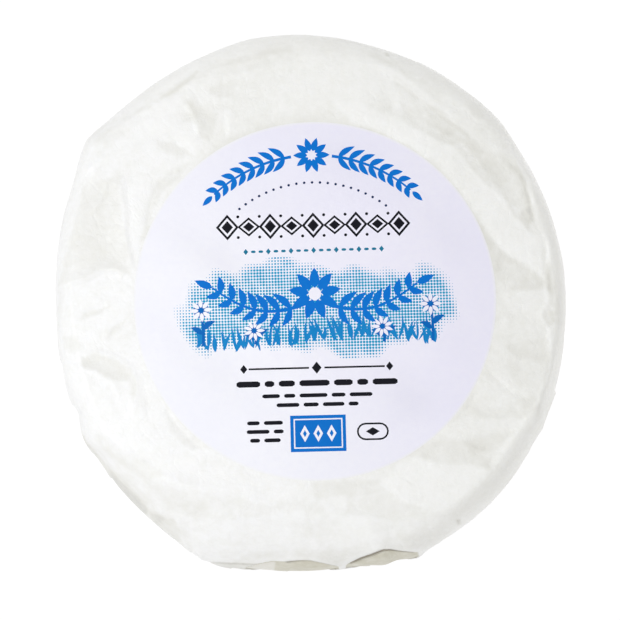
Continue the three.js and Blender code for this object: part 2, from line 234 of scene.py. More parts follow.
# flat fields of the wrap between its folds: corners' pixels, and how far the paper stands
# off the rind, from -1 (it clings, and looks greyer) to 1 (it is lifted, and looks whiter);
# the grey and white are partly the paper's own tone, partly painted shade and painted light
# of the folds' facets
FIELDS = [
    ([(80, 182), (104, 182), (120, 174), (121, 215), (125, 236), (133, 274), (114, 271), (98, 272), (88, 279),
      (57, 281), (62, 260), (75, 226)], -0.48),
    ([(66, 262), (80, 236), (90, 256), (92, 272), (80, 279), (60, 281)], 0.12),
    ([(108, 180), (119, 176), (120, 200), (108, 206)], 0.10),
    ([(155, 137), (172, 140), (195, 156), (166, 156)], -0.45),
    ([(182, 96), (216, 114), (211, 138), (199, 138)], -0.50),
    ([(206, 86), (236, 78), (233, 97), (216, 96)], -0.45),
    ([(191, 162), (166, 170), (150, 190), (143, 215), (139, 245), (146, 240), (153, 212), (162, 190), (180, 174)], -0.55),
    ([(124, 176), (150, 176), (147, 200), (140, 240), (137, 266), (129, 246), (124, 214)], 0.35),
    ([(184, 120), (196, 124), (203, 142), (196, 156), (178, 144)], 0.45),
    ([(221, 112), (232, 108), (236, 130), (226, 136)], 0.45),
    ([(86, 160), (130, 138), (160, 120), (150, 138), (100, 162)], 0.25),
    # outer bands of the shoulder
    ([(70, 176), (86, 142), (120, 112), (164, 90), (240, 52), (300, 30), (300, 56), (240, 70), (192, 83),
      (163, 99), (118, 124), (88, 150), (80, 172)], -0.12),
    ([(300, 30), (360, 38), (420, 60), (480, 96), (520, 140), (514, 152), (478, 122), (436, 90), (388, 62),
      (340, 56), (300, 56)], -0.10),
    ([(360, 46), (400, 52), (424, 70), (404, 72), (380, 60)], -0.30),
    ([(466, 100), (482, 108), (500, 130), (486, 124), (470, 112)], -0.30),
    # between the rim and the long fold
    ([(400, 100), (440, 122), (472, 143), (500, 152), (517, 166), (531, 196), (536, 218), (528, 229), (517, 216),
      (502, 195), (481, 179), (457, 147), (432, 137), (404, 117)], -0.55),
    ([(456, 142), (470, 148), (496, 178), (506, 192), (496, 190), (478, 172)], 0.22),
    ([(424, 102), (446, 104), (476, 128), (500, 150), (480, 150), (444, 132)], -0.35),
    ([(500, 148), (516, 156), (530, 180), (541, 214), (548, 245), (540, 236), (531, 212), (520, 180), (504, 160)], -0.60),
    ([(538, 234), (549, 246), (555, 286), (551, 296), (546, 290), (545, 270), (542, 256)], -0.60),
    ([(530, 240), (545, 250), (553, 280), (549, 292), (538, 286), (532, 262)], -0.45),
    ([(508, 402), (532, 396), (538, 408), (522, 420), (506, 412)], -0.35),
    ([(84, 372), (100, 374), (120, 396), (132, 420), (120, 418), (100, 392)], -0.30),
    ([(157, 92), (177, 76), (219, 57), (292, 41), (294, 49), (234, 60), (194, 79), (168, 96)], -0.35),
    ([(96, 140), (130, 112), (152, 104), (150, 116), (124, 132), (104, 150)], -0.30),
    ([(148, 100), (172, 102), (176, 126), (152, 132), (140, 118)], 0.30),
    ([(138, 176), (150, 176), (154, 210), (142, 214)], 0.30),
    ([(178, 94), (190, 96), (196, 116), (186, 118)], -0.35),
    ([(378, 56), (396, 62), (412, 92), (410, 118), (394, 112), (384, 84)], 0.40),
    ([(416, 104), (438, 102), (462, 128), (452, 136), (430, 124)], -0.40),
    ([(456, 144), (468, 142), (490, 172), (498, 190), (484, 188), (466, 166)], 0.45),
    ([(503, 142), (512, 146), (528, 178), (536, 212), (538, 240), (530, 236), (522, 200), (508, 164)], -0.35),
    ([(513, 203), (529, 203), (533, 224), (521, 226)], 0.50),
    ([(176, 500), (204, 498), (210, 514), (196, 520)], -0.30),
    ([(518, 400), (536, 398), (540, 414), (524, 420)], -0.30),
    ([(502, 154), (512, 156), (519, 176), (509, 176)], 0.15),
    ([(499, 256), (514, 264), (524, 286), (504, 290), (498, 272)], 0.40),
    ([(506, 346), (528, 350), (536, 386), (518, 386), (508, 366)], -0.25),
    ([(134, 368), (142, 370), (149, 410), (140, 414)], 0.30),
    ([(200, 468), (262, 482), (262, 494), (215, 488), (184, 452)], 0.30),
    ([(366, 482), (392, 480), (394, 492), (370, 494)], 0.25),
    ([(286, 520), (340, 516), (352, 540), (340, 560), (296, 556)], -0.25),
    ([(310, 483), (350, 478), (376, 478), (386, 489), (345, 493), (318, 499)], -0.60),
    ([(92, 429), (108, 435), (128, 449), (150, 463), (164, 475), (150, 478), (130, 469), (108, 452)], -0.55),
    ([(112, 466), (128, 474), (150, 494), (168, 512), (160, 516), (140, 500), (122, 482)], -0.45),
    ([(484, 158), (506, 160), (512, 176), (500, 186), (486, 172)], -0.35),
    ([(524, 206), (534, 206), (537, 219), (528, 228), (521, 219)], -0.5),
    ([(392, 66), (430, 93), (462, 115), (502, 146), (513, 154), (496, 151), (468, 132), (430, 106), (400, 84)], 0.10),
    # the long fold itself, and the field inside it
    ([(330, 97), (362, 102), (402, 120), (432, 139), (456, 149), (481, 181), (502, 197), (517, 218), (527, 230),
      (544, 236), (551, 256), (546, 278), (526, 263), (497, 245), (476, 216), (456, 195), (431, 165), (407, 145),
      (382, 132), (352, 120)], 0.55),
    ([(499, 248), (526, 266), (546, 282), (541, 291), (505, 289), (494, 268)], -0.55),
    ([(502, 292), (538, 292), (541, 310), (508, 312)], 0.20),
    ([(503, 345), (521, 338), (550, 338), (551, 362), (520, 358)], -0.50),
    ([(470, 392), (484, 404), (524, 413), (520, 420), (468, 414), (452, 424)], -0.35),
    ([(464, 441), (488, 433), (513, 431), (497, 447), (474, 456)], -0.60),
    ([(408, 442), (464, 440), (494, 450), (492, 468), (441, 461), (404, 455)], -0.45),
    ([(404, 459), (441, 464), (490, 471), (468, 492), (440, 510), (404, 497), (383, 480)], 0.35),
    ([(345, 492), (384, 488), (402, 499), (438, 512), (390, 519), (345, 513)], -0.42),
    ([(552, 392), (530, 422), (500, 460), (462, 500), (440, 514), (420, 545), (412, 556), (450, 540), (520, 470),
      (560, 400)], -0.05),
    ([(541, 311), (556, 311), (560, 326), (551, 330), (544, 322)], -0.4),
    # left
    ([(80, 318), (84, 311), (108, 308), (100, 314)], -0.6),
    ([(62, 334), (76, 338), (83, 350), (70, 356), (62, 350)], -0.45),
    ([(82, 357), (97, 351), (116, 359), (130, 369), (136, 384), (137, 404), (128, 384), (112, 381), (98, 370),
      (84, 368)], -0.80),
    ([(142, 392), (156, 400), (154, 418), (144, 420)], -0.20),
    ([(108, 338), (114, 326), (128, 318), (120, 330)], -0.45),
    ([(160, 393), (180, 420), (212, 450), (194, 450), (172, 432)], -0.50),
    ([(104, 408), (124, 404), (134, 420), (160, 440), (190, 462), (170, 474), (136, 458), (106, 440)], 0.2),
    # front left and front
    ([(82, 430), (112, 450), (136, 467), (152, 480), (176, 505), (178, 520), (146, 514), (110, 474)], -0.25),
    ([(152, 484), (220, 494), (272, 502), (320, 500), (330, 512), (250, 514), (222, 520), (180, 512)], -0.30),
]
# places near the lower edge and round the rim, by where they are seen: corners' pixels, the same value and a
# softness; painted shade along the lower edge and on flap facets, painted light on the shoulder's outer band and
# parts of the rim, and a few small dark specks
EDGE_FIELDS = [
    ([(78, 430), (88, 441), (97, 453), (109, 470), (119, 481), (128, 489), (137, 497), (148, 508), (148, 520),
      (90, 480), (70, 435)], -0.85, 2.2),
    ([(108, 466), (118, 475), (128, 484), (137, 493), (147.5, 503), (148.5, 512), (140, 515), (112, 480)], -0.7, 2.4),
    ([(149, 507), (158, 511), (166, 516.5), (175, 517.5), (181, 525), (187, 535), (197, 549), (192, 560),
      (140, 530)], -0.36, 2.2),
    ([(149, 509), (160, 513), (168, 518), (175, 519), (181, 529), (182, 545), (150, 530)], -0.42, 2.8),
    ([(236, 561), (290, 559), (312, 558), (340, 565), (356, 557), (384, 548), (410, 550), (440, 546), (452, 530),
      (430, 532), (388, 537), (340, 549), (290, 549), (250, 552)], -0.50, 4.0),
    ([(66, 210), (80, 150), (120, 105), (170, 68), (240, 40), (300, 28), (360, 30), (372, 42), (330, 46), (300, 46),
      (244, 56), (176, 82), (128, 118), (90, 160), (74, 210)], 0.12, 4.0),
    ([(340, 30), (400, 48), (450, 74), (500, 112), (540, 180), (560, 250), (556, 254), (545, 222), (528, 178),
      (494, 132), (444, 92), (396, 62), (344, 44)], 0.35, 3.0),
    # long thin creases: a line of painted shade beside a line of painted highlight
    ([(398, 82), (420, 97), (446, 117), (470, 136), (469, 138.5), (444, 120), (418, 100), (397, 84.5)], -0.55, 1.2),
    ([(380, 66), (402, 80), (430, 100), (452, 118), (453, 115), (432, 97), (404, 77), (382, 63)], 0.45, 1.2),
    ([(501, 136), (514, 157), (526, 182), (532, 204), (534.5, 203), (529, 181), (517, 155), (504, 135)], 0.80, 1.2),
    ([(498, 140), (511, 160), (522, 184), (529, 205), (531, 204), (525, 183), (513, 158), (501, 138)], -0.15, 1.4),
    ([(160, 97), (172, 90), (186, 80), (198, 70), (200, 72.5), (188, 83), (174, 93), (162, 99.5)], -0.65, 1.2),
    ([(154, 92), (168, 85), (184, 74), (198, 65), (199, 68), (186, 77.5), (170, 88), (156, 95)], 0.40, 1.2),
    ([(524, 156), (536, 174), (541, 196), (533, 192), (525, 172)], 0.45, 2.0),
    ([(463, 98), (481, 103), (486, 119), (472, 117)], -0.40, 3.0),
    ([(374, 46), (400, 57), (424, 71), (419, 80), (396, 67)], 0.35, 2.0),
    ([(546, 262), (556, 266), (559, 314), (549, 318)], -0.45, 2.0),
    ([(384.5, 52), (389.5, 53), (389.5, 56.5), (385.5, 55.5)], -1.7, 1.0),
    ([(456, 520), (460, 519.5), (461, 524), (457.5, 525)], -1.5, 1.2),
    ([(551.5, 318), (554.5, 319), (554.5, 322), (552, 322)], -0.8, 1.0),
    ([(368, 534), (392, 530), (404, 544), (386, 547), (370, 549)], 0.40, 2.5),
    ([(548, 325), (562, 325), (560, 380), (548, 405), (543, 400), (550, 360)], 0.40, 2.5),
    ([(196, 566), (212, 562.0), (262, 562.4), (262, 580), (206, 580)], -1.0, 1.0),
]
# the two gaps at the front where the layer below shows under the paper's edge
GAPS = [
    ([(232, 590), (246, 567.4), (260, 563.2), (272, 561.2), (284, 561.9), (299, 560.6), (310, 560.2), (322, 562.4),
      (338, 566.0), (352, 590)], 0.88),
    ([(338, 590), (347, 564.0), (357, 559.0), (373, 553.9), (383, 549.8), (391, 549.7), (401, 551.2), (414, 552.4),
      (418, 552.4), (424, 590)], 0.88),
]
# painted shadow lines just under the paper's edge at the front: corners' pixels and strength
HEM_SHADOWS = [
    ([(348, 563.5), (360, 558.0), (373, 553.0), (383, 548.9), (391, 548.8), (401, 550.4), (415, 551.8), (415, 553.4),
      (402, 552.8), (391, 551.4), (384, 551.8), (375, 555.8), (362, 560.4), (350, 564.6)], 1.0),
    ([(284, 562.2), (299, 559.8), (310, 559.4), (322, 561.4), (336, 564.6), (336, 566.0), (322, 563.2), (310, 561.2),
      (300, 561.6), (288, 564.0)], 0.75),
    ([(210, 561.4), (240, 562.6), (262, 562.6), (262, 563.6), (240, 563.8), (212, 562.8)], 0.3),
]
PALE_GAP = [(222, 590), (240, 556), (273, 556), (276, 563), (271, 590)]      # its paler end


def field_of(X, Y, corners, soft):
    """How far inside a polygon each point is: the distance to its edge in mm, below 0
    outside, and a soft mask."""
    return within(X, Y, np.array([at(*c) for c in corners], float), soft)


def within(X, Y, p, soft):
    """The same for a polygon whose corners are given as they are."""
    best = np.full(X.shape, 1e9)
    inside = np.zeros(X.shape, bool)
    box = ((X > p[:, 0].min() - 3) & (X < p[:, 0].max() + 3) & (Y > p[:, 1].min() - 3) & (Y < p[:, 1].max() + 3))
    x, y = X[box], Y[box]
    near, enclosed = np.full(x.shape, 1e9), np.zeros(x.shape, bool)
    for (ax, ay), (bx, by) in zip(p, np.roll(p, -1, 0)):
        ux, uy = bx - ax, by - ay
        t = np.clip(((x - ax) * ux + (y - ay) * uy) / (ux * ux + uy * uy + 1e-9), 0, 1)
        near = np.minimum(near, np.hypot(x - ax - t * ux, y - ay - t * uy))
        cross = ((ay > y) != (by > y)) & (x < (bx - ax) * (y - ay) / (by - ay + 1e-12) + ax)
        enclosed ^= cross
    best[box], inside[box] = near, enclosed
    signed = np.where(inside, best, -best)
    return signed, smooth((signed + soft) / (2 * soft))


# ------------------------------------------------------------------ crumpled facets
def facets(U, V, period, cell_u, cell_v, seed, spread=0.42):
    """Flat facets between random points: heights of about -1 to 1 over a plane that
    repeats in U. U and V hold the places, U the same on every row."""
    rs = np.random.RandomState(seed)
    nu = max(3, int(round(period / cell_u)))
    cu = period / nu
    v0, v1 = V.min() - 2 * cell_v, V.max() + 2 * cell_v
    nv = int(math.ceil((v1 - v0) / cell_v)) + 1
    pts, hs = [], []
    for j in range(nv):
        for i in range(nu):
            a = (i + 0.5 * (j % 2) + rs.uniform(-spread, spread)) * cu
            b = v0 + (j + rs.uniform(-spread, spread)) * cell_v
            h = rs.uniform(-1, 1)
            pts.append((a % period, b))
            hs.append(h)
    pts, hs = np.array(pts), np.array(hs)
    wide = 2.2 * cu
    before, after = pts[:, 0] > period - wide, pts[:, 0] < wide
    all_p = np.concatenate([pts, pts[before] - [period, 0], pts[after] + [period, 0]])
    all_h = np.concatenate([hs, hs[before], hs[after]])
    out = delaunay_2d_cdt([Vector(p) for p in all_p], [], [], 0, 1e-6)
    vs = np.array([tuple(v) for v in out[0]])
    origin = np.array([o[0] if o else 0 for o in out[3]])
    vh = all_h[origin]
    field = np.zeros(V.shape)
    u_line = U[0]
    vmin, vmax = V.min(axis=1), V.max(axis=1)
    for tri in out[2]:
        p, h = vs[list(tri)], vh[list(tri)]
        j0, j1 = np.searchsorted(u_line, [p[:, 0].min(), p[:, 0].max()])
        rows = np.nonzero((vmax >= p[:, 1].min()) & (vmin <= p[:, 1].max()))[0]
        if j1 <= j0 or not len(rows):
            continue
        i0, i1 = rows[0], rows[-1] + 1
        x, y = U[i0:i1, j0:j1], V[i0:i1, j0:j1]
        det = (p[1, 1] - p[2, 1]) * (p[0, 0] - p[2, 0]) + (p[2, 0] - p[1, 0]) * (p[0, 1] - p[2, 1])
        if abs(det) < 1e-9:
            continue
        a = ((p[1, 1] - p[2, 1]) * (x - p[2, 0]) + (p[2, 0] - p[1, 0]) * (y - p[2, 1])) / det
        b = ((p[2, 1] - p[0, 1]) * (x - p[2, 0]) + (p[0, 0] - p[2, 0]) * (y - p[2, 1])) / det
        c = 1 - a - b
        inside = (a >= -1e-9) & (b >= -1e-9) & (c >= -1e-9)
        block = field[i0:i1, j0:j1]
        block[inside] = (a * h[0] + b * h[1] + c * h[2])[inside]
    return field


def blur(f, across, along):
    """Softens a field by a few cells: across the rows, and round the turn."""
    for count, axis in ((across, 0), (along, 1)):
        for _ in range(count):
            if axis:
                f = 0.25 * np.roll(f, 1, 1) + 0.5 * f + 0.25 * np.roll(f, -1, 1)
            else:
                g = f.copy()
                g[1:-1] = 0.25 * f[:-2] + 0.5 * f[1:-1] + 0.25 * f[2:]
                f = g
    return f


# ------------------------------------------------------------------ the wrapped wheel
TURN = 720
FACE_ROWS, SHOULDER_ROWS, TUCK_ROWS, UNDER_ROWS = 34, 44, 16, 26
HUB = 9.0                       # the folds' ends leave this much bare in the middle below
LAYER = 0.95                    # how far the gathered paper stands under the wheel


def wheel_grid():
    """Rows of points from the middle of the face out, down the side and in under the
    wheel. Returns x, y, z, the length from the face's middle, and each row's zone."""
    deg = np.arange(TURN) * 360.0 / TURN
    c, s = np.cos(np.radians(deg)), np.sin(np.radians(deg))
    wide, sh, low, tk = outline(deg) + trim(deg), shoulder(deg), belly(deg), tuck(deg)
    sh = sh + trim(deg)
    rim = wide - sh
    X, Y, Z, zone, share = [], [], [], [], []

    def add(r, z, kind, t):
        X.append(r * c); Y.append(r * s); Z.append(z + 0 * r); zone.append(kind); share.append(t)

    edge = LABEL_R + 0.3
    for r in (5, 12, 20, 29, 38, 47, 55, 62, edge - 5, edge - 2.4, edge - 0.9, edge):
        # it dips a little under the label
        add(r + 0 * c, face(r * c, r * s) - 0.4 * smooth((edge - 0.8 - r) / 1.6), 0, r / edge)
    for k in range(1, FACE_ROWS + 1):
        t = k / FACE_ROWS
        r = edge + (rim - edge) * t
        add(r, face(r * c, r * s), 1, t)
    top = face(rim * c, rim * s)
    for k in range(1, SHOULDER_ROWS + 1):
        t = (k / SHOULDER_ROWS)
        phi = (math.pi / 2) * (0.72 * t + 0.28 * math.sin(t * math.pi / 2))
        r = rim + sh * math.sin(phi)
        add(r, low + (top - low) * math.cos(phi), 2, t)
    for k in range(1, TUCK_ROWS + 1):
        t = k / TUCK_ROWS
        phi = t * math.pi / 2
        r = wide - tk * (1 - math.cos(phi))
        add(r, LAYER + (low - LAYER) * (1 - math.sin(phi)), 3, t)
    foot = wide - tk
    for k in range(1, UNDER_ROWS + 1):
        t = k / UNDER_ROWS
        r = foot + (2.0 - foot) * (1 - (1 - t) ** 1.12)
        add(r, LAYER + 0 * c, 4, t)
    X, Y, Z = np.array(X), np.array(Y), np.array(Z)
    step = np.sqrt(np.diff(X, axis=0) ** 2 + np.diff(Y, axis=0) ** 2 + np.diff(Z, axis=0) ** 2)
    V = np.concatenate([np.zeros((1, TURN)), np.cumsum(step, axis=0)])
    return deg, X, Y, Z, V, np.array(zone), np.array(share)


def grid_normals(X, Y, Z):
    P = np.stack([X, Y, Z], -1)
    du = np.roll(P, -1, 1) - np.roll(P, 1, 1)
    dv = np.gradient(P, axis=0)
    n = np.cross(dv, du)
    n /= np.maximum(np.linalg.norm(n, axis=-1, keepdims=True), 1e-9)
    return n


def pleat_edges():
    """Where the gathered folds of the side begin and end: direction, how high up the side
    each starts, how thick its free edge stands, and how it leans."""
    edges, a = [], 3.0
    while a < 352.0:
        edges.append((a, RNG.uniform(0.10, 0.55), RNG.uniform(0.55, 1.25), RNG.uniform(-0.16, 0.22),
                      RNG.uniform(11.0, 24.0)))
        a += RNG.uniform(8.5, 17.5)
    return edges


EDGES = pleat_edges()


def pleats(deg, V, zone, share, start):
    """Rise of the gathered folds: each climbs slowly to its free edge and drops there."""
    D = np.repeat(deg[None, :], len(zone), 0)
    below = V - start[None, :]              # length down the side from the rim crease
    rise = np.zeros(V.shape)
    pleat_tone_shade = np.zeros(V.shape)
    n = len(EDGES)
    for k, (a, high, thick, lean, end) in enumerate(EDGES):
        b = EDGES[(k + 1) % n][0] + (360 if k == n - 1 else 0)
        lean_b = EDGES[(k + 1) % n][3]
        la = a + lean * np.clip(below, 0, 60)
        lb = b + lean_b * np.clip(below, 0, 60)
        pos = (D - la) % 360.0
        width = np.maximum(lb - la, 1.0)
        f = pos / width
        inside = (f >= 0) & (f < 1)
        # fades in from its start on the side
        down = smooth((below - (2.0 + 24.0 * (1 - high))) / 16.0)
        h = thick * np.where(inside, f, 0) ** 1.6 * down
        rise = np.where(inside, h, rise)
        # painted shade across each fold: a random offset per fold, darker towards its low side and darkest in a thin
        # line at the foot of the step where the fold before it drops
        own = 0.35 * math.sin(5.1 * k) + 0.55 * (f - 0.45) - 1.25 * np.exp(-np.clip(pos, 0, 60) / 0.45)
        pleat_tone_shade = np.where(inside, own * down, pleat_tone_shade)
    return rise, pleat_tone_shade


def hash01(a, b):
    return np.abs(np.sin(a * 12.9898 + b * 78.233) * 43758.5453) % 1.0


def build_wheel():
    deg, X, Y, Z, V, zone, share = wheel_grid()
    rows = len(zone)
    N = grid_normals(X, Y, Z)
    R = np.hypot(X, Y)
    start = V[np.nonzero(zone == 1)[0][-1]]          # length to the rim crease
    Vn = V - start[None, :]
    U = np.repeat((np.radians(deg) * 96.0)[None, :], rows, 0)
    period = 2 * math.pi * 96.0

    on_face = (zone <= 1)[:, None]
    on_side = (zone == 2)[:, None]
    in_tuck = (zone == 3)[:, None]
    under = (zone == 4)[:, None]
    T = share[:, None]

    # where each point is seen from above, and the row beyond which the side turns away
    PX, PY = seen(X, Y, Z)
    far = np.argmax(np.hypot(PX - CENTRE_PX[0], PY - CENTRE_PX[1]) + 1e3 * (zone[:, None] < 2) * -1, axis=0)
    turned = np.arange(rows)[:, None] > far[None, :]         # faces away from above
    widest = V[far, np.arange(TURN)][None, :]

    # folds of the photograph: whole on the face, fading down the side
    weight = np.where(on_face, 1.0, np.where(on_side, 1 - smooth((T - 0.62) / 0.36), 0.0))
    weight = weight * smooth((R - LABEL_R) / 2.2)
    fold = np.zeros(X.shape)
    WX, WY = waver(X, Y)
    for pts, rise, left, right, ends in FOLDS:
        fold += crease(WX, WY, [at(*p) for p in pts], rise, left, right, ends)
    fold *= weight
    front = np.zeros(X.shape)
    for pts, z, rise, left, right, ends in FRONT_FOLDS:
        front += crease(X, Y, [at(px, py, z) for px, py in pts], rise, left, right, ends)
    front *= np.where(on_face | on_side, 1.0, np.where(in_tuck, 1 - smooth(T / 0.5), 0.0))

    # the flat fields between the folds: each lies a little above or below the rest, and is painted greyer or whiter,
    # partly as the paper's tone and partly as painted shade and painted light
    field_tone_shade_light = np.zeros(X.shape)
    sheet = np.zeros(X.shape)
    for corners, value in FIELDS:
        inner, mask = field_of(WX, WY, corners, 1.1)
        field_tone_shade_light += value * mask
        sheet += np.sign(value) * np.clip(inner * 0.09, 0, 0.36) * min(1.0, abs(value) * 1.6)
    # painted shade: a soft darker ring on the paper just outside the label, strongest to its upper right and upper
    # left; beyond it the paper is a little darker to the left and a little lighter to the front
    around = np.repeat(deg[None, :], rows, 0)
    field_tone_shade_light -= 0.85 * np.exp(-np.clip(R - LABEL_R, 0, 60) / 3.6) * (lobe(around, 52, 30) + 0.9 * lobe(around, 118, 16)
                                                                + 0.5 * lobe(around, 22, 14) + 0.3 * lobe(around, 90, 12))
    field_tone_shade_light -= 0.10 * lobe(around, 180, 32) * smooth((R - LABEL_R) / 12.0)
    field_tone_shade_light += 0.09 * lobe(around, 268, 22) * smooth((R - LABEL_R) / 8.0)
    top = np.where(on_face, 1.0, np.where(on_side, 1 - smooth((T - 0.80) / 0.2), 0.0)) * smooth((R - LABEL_R - 0.2) / 1.6)
    sheet *= np.where(on_side, 1 - smooth((T - 0.3) / 0.5), 1.0) * top
    field_tone_shade_light *= np.where(on_face, 1.0, np.where(on_side, 1.0, np.where(in_tuck, 1 - smooth(T / 0.6), 0.0)))

    # crumpled facets: large, small, and long ones that run over the shoulder
    big = facets(U, Vn, period, 30.0, 26.0, 11)
    mid = facets(U, Vn, period, 15.0, 17.0, 5)
    fine = facets(U, Vn, period, 7.5, 9.0, 8)
    over = facets(U, Vn, period, 11.0, 34.0, 21, 0.35)
    free = smooth((R - LABEL_R - 0.8) / 10.0)
    near_side = smooth((Vn + 10.0) / 16.0)
    bumps = np.where(on_face, free * (0.30 * big + 0.26 * mid + 0.08 * fine), 0)
    bumps = np.where(on_side, 0.45 * big + 0.34 * mid + 0.14 * fine, bumps)
    bumps = bumps + near_side * np.where(on_face | on_side, 0.42 * over, 0)
    bumps = np.where(on_side, bumps * (1 - 0.62 * smooth((T - 0.35) / 0.65)), bumps)
    bumps = np.where(in_tuck, (0.38 + 0.2 * T) * (0.45 * big + 0.34 * mid + 0.42 * over) + 0.10 * fine, bumps)
    bumps = np.where(under, 0.4 * (0.45 * big + 0.34 * mid + 0.42 * over) + 0.10 * fine, bumps)

    rise, pleat_tone_shade = pleats(deg, V, zone, share, start)
    shown = np.where(on_side, smooth((T - 0.15) / 0.85) * 0.85, np.where(in_tuck, 0.85 + 0.35 * T, np.where(under, 1.2, 0)))
    rise = rise * shown * np.where(under, 1.0, 0.22 + 0.78 * smooth((V - widest + 1.0) / 5.0))

    # near the lower edge, by where each point is seen from above: strips and creases of painted
    # shade and painted light, and two places where the outer layer's edge stands off the one below
    past = V - widest
    # painted shade of the gathered folds, on the side beyond the widest line
    field_tone_shade_light += pleat_tone_shade * np.where(on_face, 0.0, smooth((past - 0.6) / 3.0))
    beyond = smooth((7.0 - past) / 6.0)
    face_side = np.where(on_face | on_side | in_tuck, 1.0, 0.0)
    for corners, value, soft in EDGE_FIELDS:
        inner, mask = within(PX, PY, np.array(corners, float), soft)
        rim_row = mask[far, np.arange(TURN)]
        wide_row = sum(np.roll(rim_row, k) for k in range(-6, 7)) / 13.0
        spread_row = rim_row[None, :] + (wide_row - rim_row)[None, :] * smooth(past / 3.0)
        mask = np.where(turned, spread_row * beyond, mask * face_side)
        field_tone_shade_light += value * mask
    gap = np.zeros(X.shape)
    stand = np.zeros(X.shape)
    hem_shadow_below = np.zeros(X.shape)
    for corners, value in GAPS:
        inner, mask = within(PX, PY, np.array(corners, float), 1.2)
        held = np.nonzero(mask[far, np.arange(TURN)] > 0.5)[0]
        first_col, last_col = held.min() - 1.0, held.max() + 1.0
        closing = (np.clip(past, 0, 40) / 8.5) ** 1.15
        col = np.arange(TURN)[None, :] + 0.9 * np.sin(past * 0.55) + 0.5 * np.sin(past * 1.3 + 1.0)
        left_in = (col - first_col - (last_col - first_col) * 0.60 * closing) * 0.87
        right_in = (last_col - (last_col - first_col) * 0.42 * closing - col) * 0.87
        inner_below = np.minimum(left_in, right_in)
        mask = np.where(turned, smooth((inner_below + 0.5) / 1.0), mask * face_side)
        gap = np.maximum(gap, value * mask)
        flap = 0.40 * np.exp(-np.clip(-inner_below, 0, 40) / 3.5) * (inner_below < 0) * turned * ~under
        stand = np.maximum(stand, flap * (inner_below > -14))
        # painted shadow under the flap's edge where the gaps run on beyond the widest line
        hem_shadow_below = np.maximum(hem_shadow_below, 0.5 * np.where(turned, (1 - smooth((inner_below - 0.4) / 1.4))
                                                         * smooth((inner_below + 0.6) / 0.8), 0.0))
        near_hem = np.exp(-np.clip(-inner, 0, 40) / 9.0) * (inner < 0) * face_side * ~turned
        stand = np.maximum(stand, 0.40 * near_hem * (inner > -35))
    stand = stand * (1 - smooth(gap / 0.5))
    pale = within(PX + np.where(turned, 2.4 * past + 2.0 * np.sin(past * 0.6), 0.0), PY, np.array(PALE_GAP, float), 1.5)[1]
    pale = np.maximum(pale, np.where(turned, 0.7 * smooth(past / 5.0), 0.0))
    gap = gap + 0.12 * pale * smooth((gap - 0.5) / 0.38)
    # painted shadow: a dark line under the paper's edge over the two gaps and along the front
    hem = np.zeros(X.shape)
    for corners, value in HEM_SHADOWS:
        mask = within(PX, PY, np.array(corners, float), 0.8)[1]
        hem = np.maximum(hem, value * np.where(turned, 0.0, mask * face_side))
    hem = np.maximum(hem, hem_shadow_below)
    bumps = bumps * (1 - 0.7 * gap)

    D0 = blur(fold + front + sheet, 0, 0) + blur(bumps, 1, 1) + blur(rise, 0, 0) + stand - 0.40 * smooth(gap / 0.7)
    P = np.stack([X, Y, Z], -1) + N * D0[..., None]

    # under the wheel: the folds' free ends, cut off short of the middle, and the table
    r = np.hypot(P[..., 0], P[..., 1])
    ends = np.zeros(X.shape)
    for k, (a, high, thick, lean, end) in enumerate(EDGES):
        b = EDGES[(k + 1) % len(EDGES)][0] + (360 if k == len(EDGES) - 1 else 0)
        pos = (deg - a - lean * 60) % 360.0
        f = pos / (b - a)
        cut = end + (f - 0.5) * 6.0 * math.sin(k * 2.3)
        ends = np.where((f >= 0)[None, :] & (f < 1)[None, :], smooth((cut[None, :] + 0.8 - r) / 1.0), ends)
    P[..., 2] = np.where(under, P[..., 2] + ends * 0.55, P[..., 2])
    P[..., 2] = np.maximum(P[..., 2], 0.0)
    lowest = P[..., 2].min()
    P[..., 2] -= lowest

    # vertices and faces: a point in the middle of the face and one under the wheel
    verts = np.concatenate([[[0, 0, face(np.float64(0), np.float64(0))]], P.reshape(-1, 3), [[0, 0, LAYER + 0.5]]])
    verts = (verts + [MID[0], MID[1], 0]) / 1000.0
    faces = []
    nxt = (np.arange(TURN) + 1) % TURN
    i = np.arange(TURN)
    first, last = 1, 1 + (rows - 1) * TURN
    tri = [(0, int(first + a), int(first + b)) for a, b in zip(i, nxt)]
    quads = []
    for k in range(rows - 1):
        a, b = 1 + k * TURN + i, 1 + k * TURN + nxt
        c, d = a + TURN, b + TURN
        quads.append(np.stack([a, c, d, b], 1))
    quads = np.concatenate(quads)
    end = len(verts) - 1
    tri += [(end, int(last + b), int(last + a)) for a, b in zip(i, nxt)]
    me = bpy.data.meshes.new("paper_wrap")
    me.from_pydata(verts.tolist(), [], tri[:TURN] + quads.tolist() + tri[TURN:])
    me.update()
    me.polygons.foreach_set("use_smooth", [True] * len(me.polygons))
    # where the lower layer shows in the two gaps, and the painted shadow line under the paper's edge over them
    values = np.zeros(len(verts)); values[1:-1] = gap.reshape(-1)
    layer = me.attributes.new("under_layer", "FLOAT", "POINT")
    layer.data.foreach_set("value", values)
    values = np.zeros(len(verts)); values[1:-1] = hem.reshape(-1)
    shade = me.attributes.new("hem_shade", "FLOAT", "POINT")
    shade.data.foreach_set("value", values)
